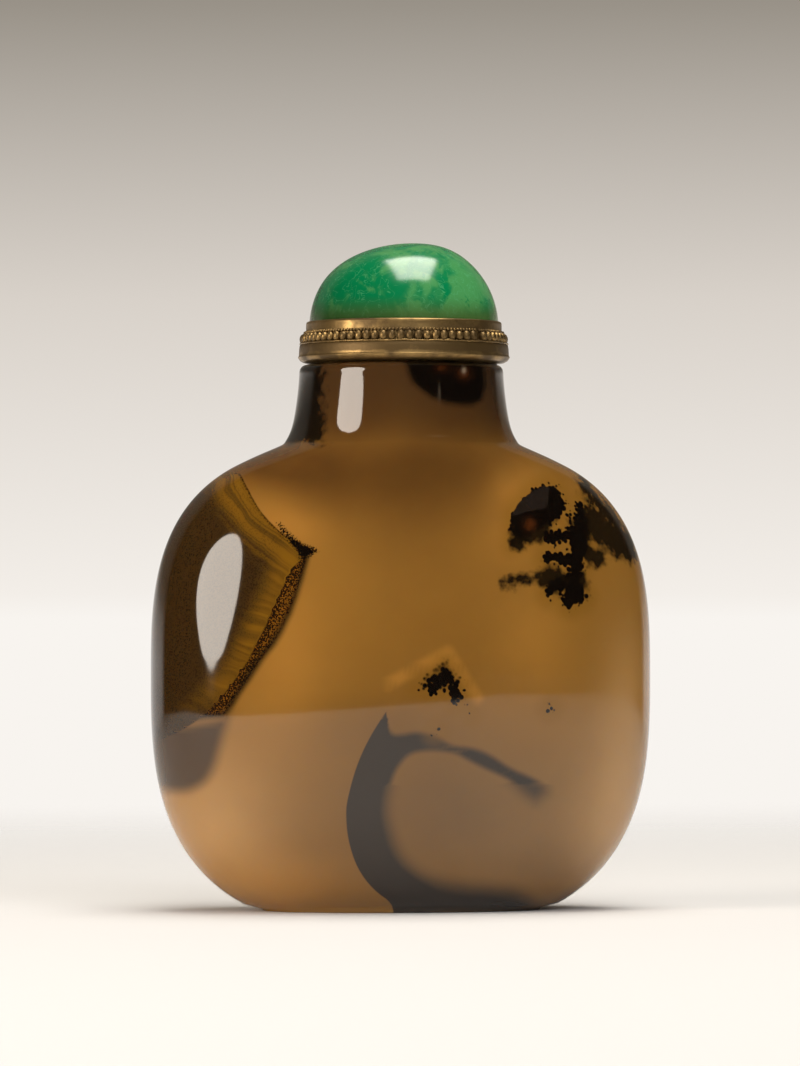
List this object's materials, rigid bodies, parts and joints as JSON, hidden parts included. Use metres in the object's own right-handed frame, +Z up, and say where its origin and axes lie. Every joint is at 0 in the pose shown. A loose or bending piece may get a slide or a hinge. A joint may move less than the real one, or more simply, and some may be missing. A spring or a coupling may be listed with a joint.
{
  "type": "snuff bottle",
  "caption": "Flattened oval agate flask on a low foot, hollow and empty, with a corked stopper of green cabochon in a beaded metal collar.",
  "frame": {"origin": "centre of the foot's underside, on the surface that the bottle stands on", "axes": "+Z up through the neck, X along the bottle's width, -Y towards the front face that the picture shows"},
  "size_m": [0.048, 0.0264, 0.064],
  "materials": {
    "agate": "polished, translucent amber with dark inclusions",
    "gilt_metal": "worn gilding, darkened in the recesses",
    "green_stone": "polished, mottled emerald green",
    "cork": "matt natural cork"
  },
  "bodies": {
    "root": {"bottle": "agate", "stopper_collar": "gilt_metal", "stopper_cabochon": "green_stone", "stopper_cork": "cork"}
  },
  "joints": []
}
